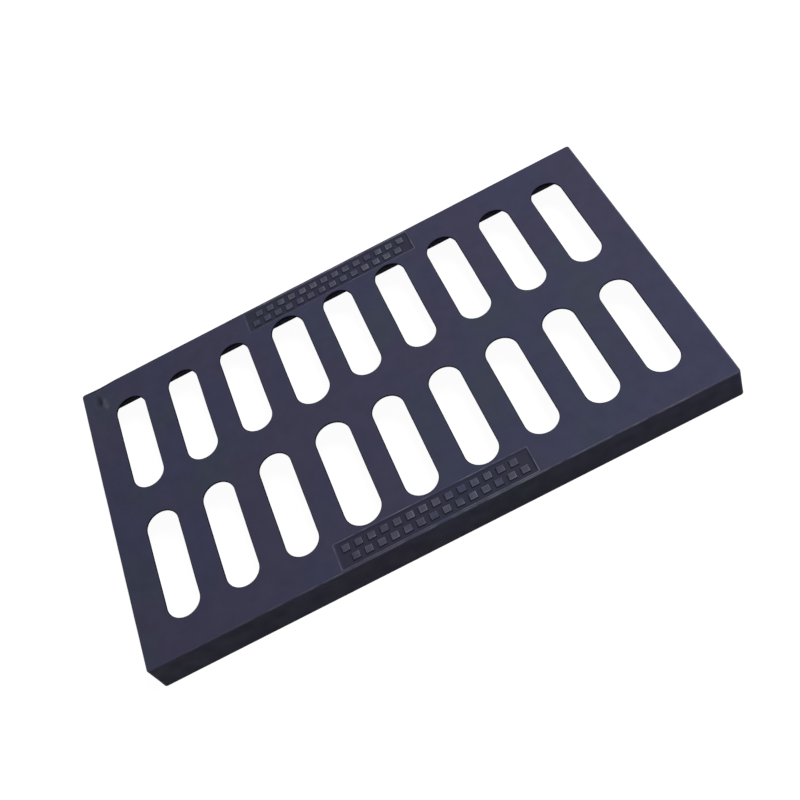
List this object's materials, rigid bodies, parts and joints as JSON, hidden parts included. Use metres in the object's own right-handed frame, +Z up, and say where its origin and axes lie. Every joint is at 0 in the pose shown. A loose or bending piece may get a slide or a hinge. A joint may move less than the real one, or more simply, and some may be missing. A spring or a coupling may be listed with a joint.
{
  "type": "drain grate",
  "caption": "Flat rectangular cast drain grate with rows of round-ended slots, a skirt all round and webs under the bars; it lies in a gully frame and lets water through.",
  "frame": {"origin": "middle of the footprint, on the plane of the resting rim", "axes": "+X along the long side, +Y along the slots towards the far side, +Z up through the top face"},
  "size_m": [0.5, 0.3, 0.03],
  "materials": {
    "coated_iron": "dark blue-black coating over an as-cast surface, satin"
  },
  "bodies": {
    "root": {"grate": "coated_iron"}
  },
  "joints": []
}
